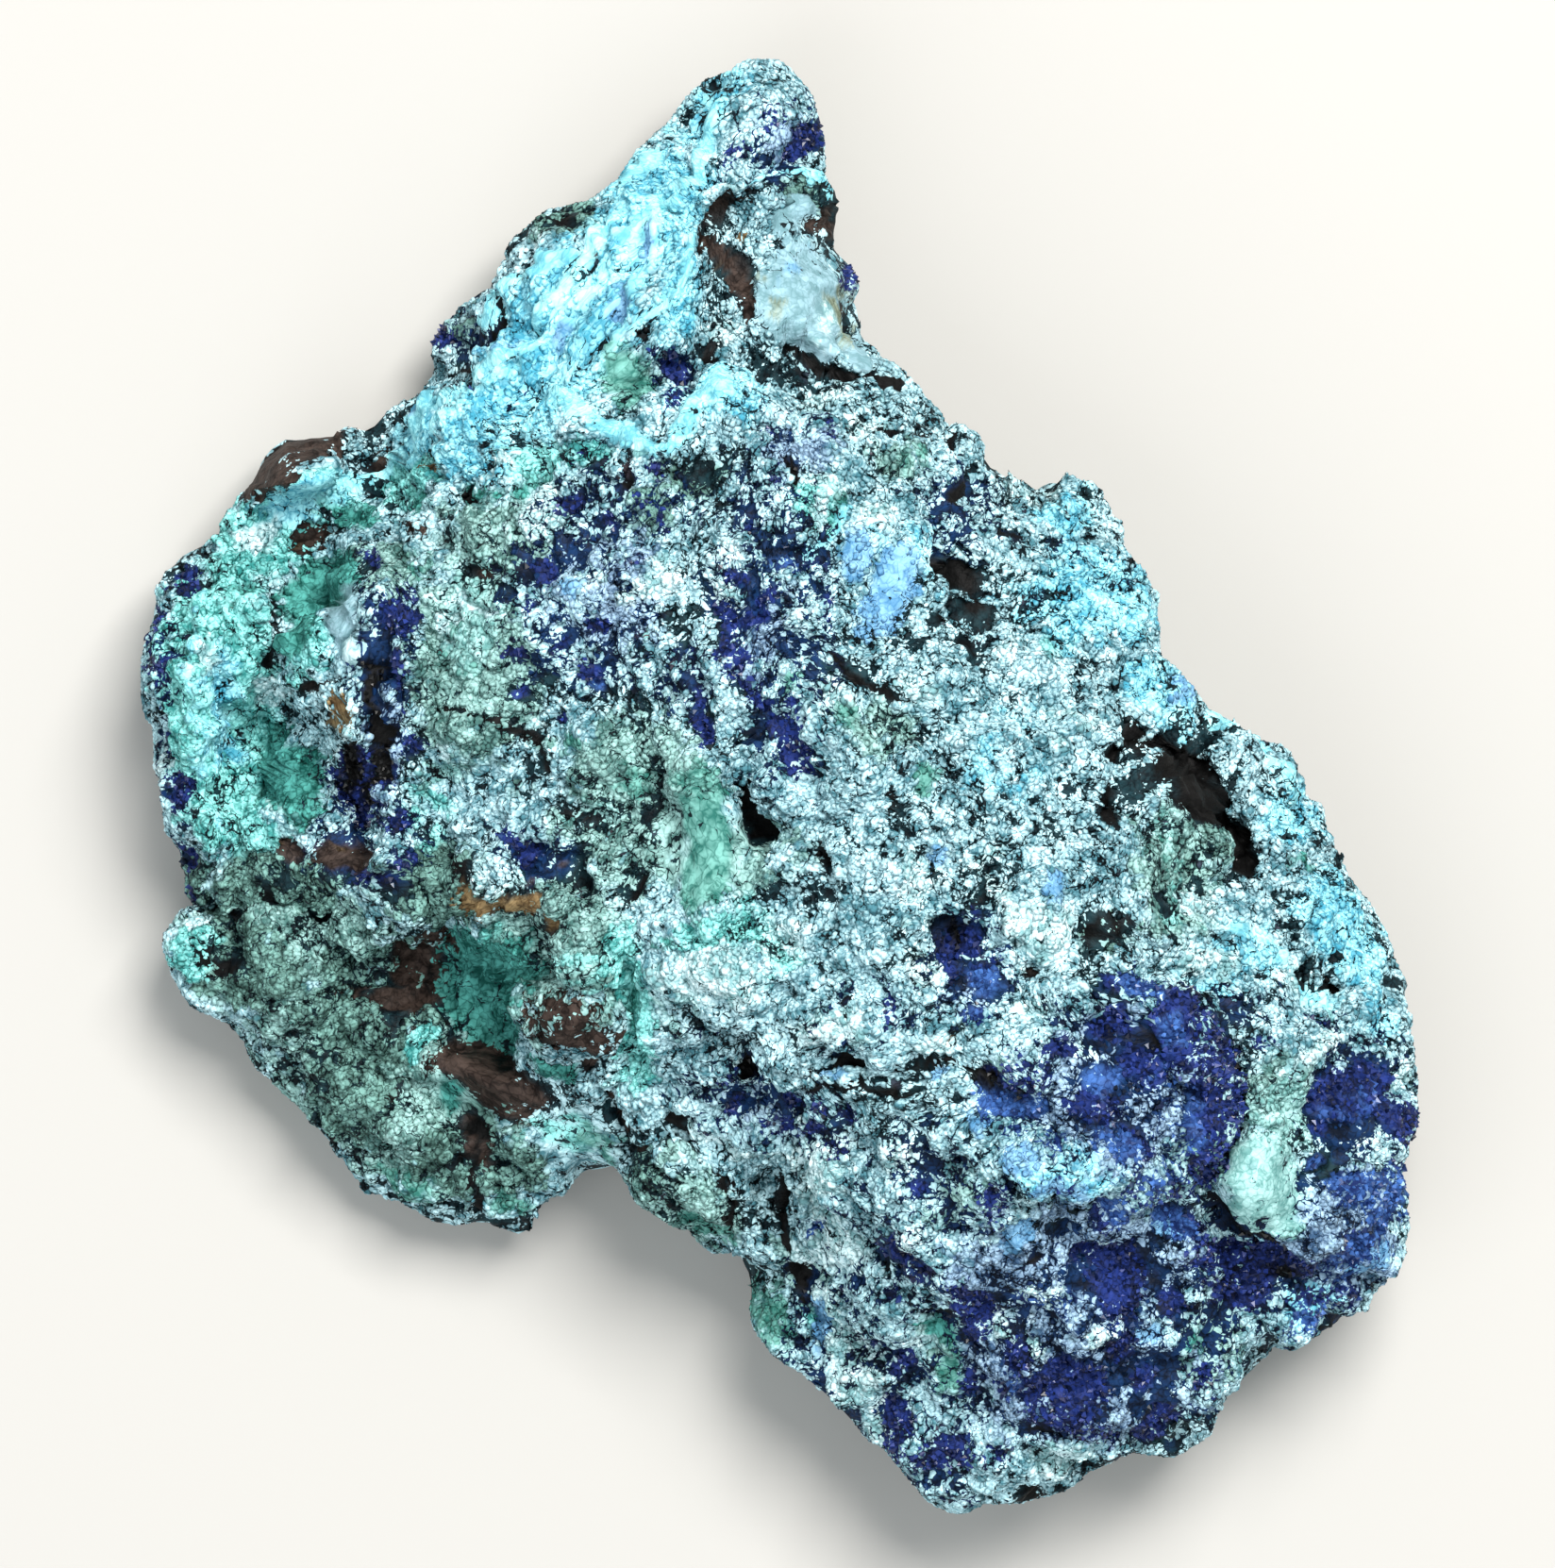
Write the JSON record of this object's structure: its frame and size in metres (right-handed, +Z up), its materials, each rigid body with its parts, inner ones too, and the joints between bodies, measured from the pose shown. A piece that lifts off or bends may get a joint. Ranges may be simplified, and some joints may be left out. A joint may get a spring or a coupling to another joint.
{
  "type": "azurite malachite specimen",
  "caption": "Hand-size broken lump of copper rock, crusted with pale blue-green malachite and chrysocolla druse and deep blue azurite, lying on its flattest side.",
  "frame": {"origin": "middle of the lump's bounding box in plan, at the level of the ground that it rests on", "axes": "+Z up, +Y towards the pointed peak (the lump's longest extent), +X towards the right-hand shoulder seen from above"},
  "size_m": [0.0846, 0.0964, 0.0348],
  "materials": {
    "copper_rock": "rough pale blue-green druse with deep blue azurite spots, dark pits and brown matrix"
  },
  "bodies": {
    "root": {"azurite_malachite_stone": "copper_rock"}
  },
  "joints": []
}
